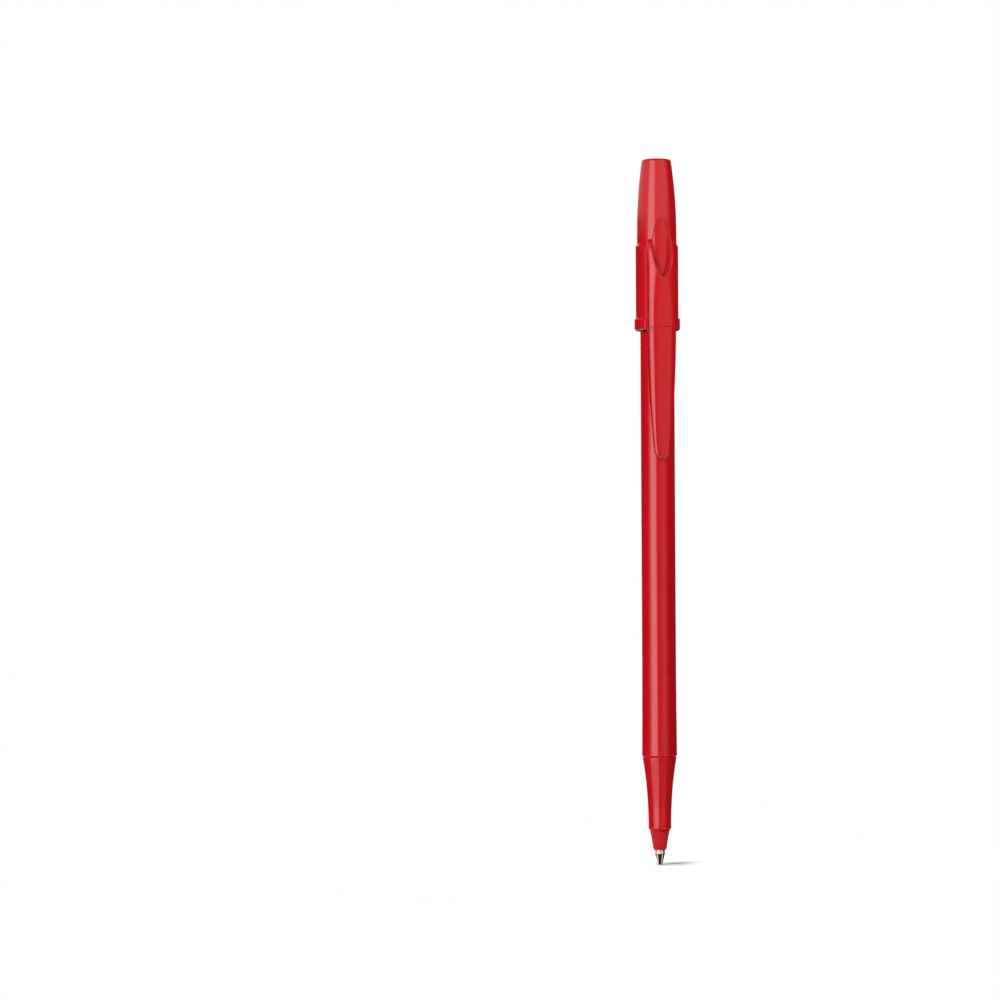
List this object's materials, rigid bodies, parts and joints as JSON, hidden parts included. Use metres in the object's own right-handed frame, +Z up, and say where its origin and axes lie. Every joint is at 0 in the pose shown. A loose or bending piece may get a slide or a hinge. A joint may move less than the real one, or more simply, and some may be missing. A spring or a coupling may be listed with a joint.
{
  "type": "stick ballpoint pen",
  "caption": "Slim ballpoint pen with a waisted nose, a metal writing point and a friction-fit cap, with a flexing pocket clip, posted on its tail.",
  "frame": {"origin": "lowest point of the writing ball, on the pen's axis, where the pen stands on its point", "axes": "+Z up the pen's axis from the point to the cap's flat top, -Y to the side that the pocket clip faces, +X to the right of the clip as seen from the front"},
  "size_m": [0.0102, 0.011, 0.1573],
  "materials": {
    "red_plastic": "glossy moulded polystyrene",
    "holder_plastic": "satin moulded polypropylene",
    "point_metal": "turned nickel silver",
    "ball_metal": "ground tungsten carbide",
    "tube_plastic": "translucent extruded polypropylene",
    "red_ink": "liquid"
  },
  "bodies": {
    "pen": {"barrel": "red_plastic", "nose_section": "red_plastic", "point_holder": "holder_plastic", "point_body": "point_metal", "ink_tube": "tube_plastic", "ink": "red_ink"},
    "cap": {"cap": "red_plastic"},
    "clip": {"pocket_clip": "red_plastic"},
    "ball": {"writing_ball": "ball_metal"}
  },
  "joints": [
    {"name": "cap_slide", "type": "slide", "parent": "pen", "child": "cap", "axis": [0, 0, 1], "range_m": [0, 0.048]},
    {"name": "clip_flex", "type": "hinge", "parent": "cap", "child": "clip", "pos_m": [0, -0.0059, 0.11905], "axis": [-1, 0, 0], "range_deg": [0, 5], "stiffness_Nm_per_rad": 0.21},
    {"name": "ball_roll", "type": "hinge", "parent": "pen", "child": "ball", "pos_m": [0, 0, 0.0005], "axis": [1, 0, 0], "continuous": true}
  ]
}
